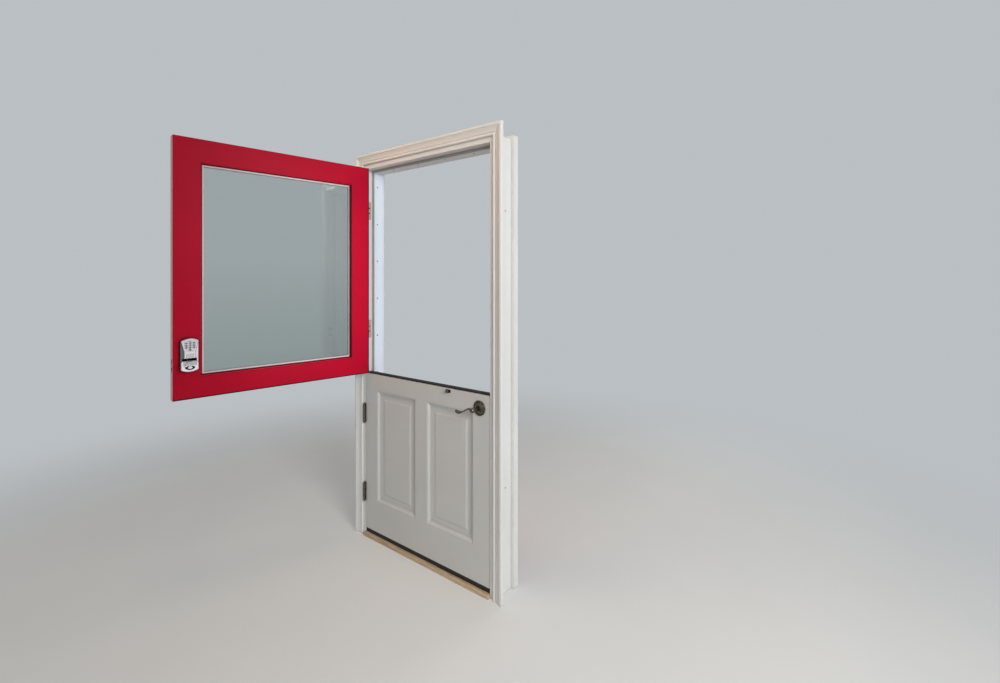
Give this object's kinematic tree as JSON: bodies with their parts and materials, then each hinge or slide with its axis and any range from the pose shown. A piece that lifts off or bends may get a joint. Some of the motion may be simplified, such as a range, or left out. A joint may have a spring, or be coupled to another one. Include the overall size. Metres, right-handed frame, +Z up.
{
  "type": "dutch stable door with frame",
  "caption": "Dutch stable door in its frame: a raised-panel lower leaf and a glazed upper leaf that swing separately, with lever latch, keypad deadbolt, hinges and seals.",
  "frame": {"origin": "middle of the threshold's underside at the wall face of the room, on the floor", "axes": "+X from the hinge side to the lock side, +Y from the room to the outside, +Z up"},
  "size_m": [1.1569, 1.0811, 2.1595],
  "materials": {
    "leaf_paint": "satin paint",
    "frame_paint": "satin paint",
    "sill_wood": "oiled",
    "strip_vinyl": "matt",
    "seal_rubber": "matt",
    "bronze": "aged bronze",
    "nickel": "satin nickel",
    "plug_brass": "satin",
    "key_plastic": "matt",
    "clear_glass": "clear",
    "spacer_aluminium": "mill"
  },
  "bodies": {
    "frame": {"threshold": "sill_wood", "head_jamb": "frame_paint", "hinge_jamb": "frame_paint", "strike_jamb": "frame_paint", "casing_left": "frame_paint", "casing_right": "frame_paint", "casing_head": "frame_paint", "outer_trim": "frame_paint", "weatherstrips": "strip_vinyl", "strike_plates": "bronze", "hinge_jamb_leaves": "bronze", "hinge_pins": "bronze", "frame_screws": "bronze"},
    "lower_leaf": {"lower_hinge_stile": "leaf_paint", "lower_lock_stile": "leaf_paint", "lower_bottom_rail": "leaf_paint", "lower_top_rail": "leaf_paint", "lower_middle_bar": "leaf_paint", "lower_panel_left": "leaf_paint", "lower_panel_right": "leaf_paint", "meeting_seal": "seal_rubber", "bottom_sweep": "seal_rubber", "lower_hinge_leaves": "bronze", "latch_case": "bronze", "lever_roses": "bronze", "bolt_keeper": "bronze", "lower_leaf_screws": "bronze"},
    "lever_set": {"inside_lever": "bronze", "outside_lever": "bronze", "lever_spindle": "nickel"},
    "latch": {"latch_bolt": "nickel"},
    "upper_leaf": {"upper_hinge_stile": "leaf_paint", "upper_lock_stile": "leaf_paint", "upper_bottom_rail": "leaf_paint", "upper_top_rail": "leaf_paint", "glazing_beads": "leaf_paint", "glass_panes": "clear_glass", "glass_spacer": "spacer_aluminium", "upper_hinge_leaves": "bronze", "deadbolt_case": "bronze", "keypad_housing": "nickel", "turn_housing": "bronze", "slide_plate": "bronze", "upper_leaf_screws": "bronze"},
    "dead_bolt": {"deadbolt": "nickel"},
    "thumb_turn_set": {"thumb_turn": "bronze", "turn_blade": "nickel"},
    "slide_rod": {"surface_bolt": "bronze"},
    "plug": {"key_plug": "plug_brass"},
    "key_0_body": {"key_0": "key_plastic"},
    "key_1_body": {"key_1": "key_plastic"},
    "key_2_body": {"key_2": "key_plastic"},
    "key_3_body": {"key_3": "key_plastic"},
    "key_4_body": {"key_4": "key_plastic"},
    "key_5_body": {"key_5": "key_plastic"},
    "key_6_body": {"key_6": "key_plastic"},
    "key_7_body": {"key_7": "key_plastic"},
    "key_8_body": {"key_8": "key_plastic"},
    "key_9_body": {"key_9": "key_plastic"},
    "wake_button_body": {"wake_button": "key_plastic"}
  },
  "joints": [
    {"name": "lower_leaf_hinge", "type": "hinge", "parent": "frame", "child": "lower_leaf", "pos_m": [-0.4585, -0.008, 0.4725], "axis": [0, 0, -1], "range_deg": [0, 170]},
    {"name": "upper_leaf_hinge", "type": "hinge", "parent": "frame", "child": "upper_leaf", "pos_m": [-0.4585, -0.008, 1.5065], "axis": [0, 0, -1], "range_deg": [-98.56, 71.44]},
    {"name": "lever_turn", "type": "hinge", "parent": "lower_leaf", "child": "lever_set", "pos_m": [0.397, 0.02225, 0.856], "axis": [0, -1, 0], "range_deg": [-45, 45], "stiffness_Nm_per_rad": 0.6},
    {"name": "latch_slide", "type": "slide", "parent": "lower_leaf", "child": "latch", "axis": [1, 0, 0], "range_m": [0, 0.0115]},
    {"name": "thumb_turn_hinge", "type": "hinge", "parent": "upper_leaf", "child": "thumb_turn_set", "pos_m": [-0.57793, -0.85516, 1.0785], "axis": [-0.9889, 0.1488, 0], "range_deg": [0, 90]},
    {"name": "deadbolt_slide", "type": "slide", "parent": "upper_leaf", "child": "dead_bolt", "axis": [-0.1488, -0.9889, 0], "range_m": [0, 0.025]},
    {"name": "surface_bolt_slide", "type": "slide", "parent": "upper_leaf", "child": "slide_rod", "axis": [0, 0, -1], "range_m": [0, 0.022]},
    {"name": "key_plug_turn", "type": "hinge", "parent": "upper_leaf", "child": "plug", "pos_m": [-0.51217, -0.86506, 1.0785], "axis": [0.9889, -0.1488, 0], "range_deg": [-90, 90]},
    {"name": "key_0_press", "type": "slide", "parent": "upper_leaf", "child": "key_0_body", "axis": [-0.9889, 0.1488, 0], "range_m": [0, 0.001], "stiffness_N_per_m": 1500},
    {"name": "key_1_press", "type": "slide", "parent": "upper_leaf", "child": "key_1_body", "axis": [-0.9889, 0.1488, 0], "range_m": [0, 0.001], "stiffness_N_per_m": 1500},
    {"name": "key_2_press", "type": "slide", "parent": "upper_leaf", "child": "key_2_body", "axis": [-0.9889, 0.1488, 0], "range_m": [0, 0.001], "stiffness_N_per_m": 1500},
    {"name": "key_3_press", "type": "slide", "parent": "upper_leaf", "child": "key_3_body", "axis": [-0.9889, 0.1488, 0], "range_m": [0, 0.001], "stiffness_N_per_m": 1500},
    {"name": "key_4_press", "type": "slide", "parent": "upper_leaf", "child": "key_4_body", "axis": [-0.9889, 0.1488, 0], "range_m": [0, 0.001], "stiffness_N_per_m": 1500},
    {"name": "key_5_press", "type": "slide", "parent": "upper_leaf", "child": "key_5_body", "axis": [-0.9889, 0.1488, 0], "range_m": [0, 0.001], "stiffness_N_per_m": 1500},
    {"name": "key_6_press", "type": "slide", "parent": "upper_leaf", "child": "key_6_body", "axis": [-0.9889, 0.1488, 0], "range_m": [0, 0.001], "stiffness_N_per_m": 1500},
    {"name": "key_7_press", "type": "slide", "parent": "upper_leaf", "child": "key_7_body", "axis": [-0.9889, 0.1488, 0], "range_m": [0, 0.001], "stiffness_N_per_m": 1500},
    {"name": "key_8_press", "type": "slide", "parent": "upper_leaf", "child": "key_8_body", "axis": [-0.9889, 0.1488, 0], "range_m": [0, 0.001], "stiffness_N_per_m": 1500},
    {"name": "key_9_press", "type": "slide", "parent": "upper_leaf", "child": "key_9_body", "axis": [-0.9889, 0.1488, 0], "range_m": [0, 0.001], "stiffness_N_per_m": 1500},
    {"name": "wake_button_press", "type": "slide", "parent": "upper_leaf", "child": "wake_button_body", "axis": [-0.9889, 0.1488, 0], "range_m": [0, 0.001], "stiffness_N_per_m": 1500}
  ],
  "couplings": [
    {"joint": "thumb_turn_hinge", "follows": "deadbolt_slide", "rad_per_m": 62.832}
  ]
}
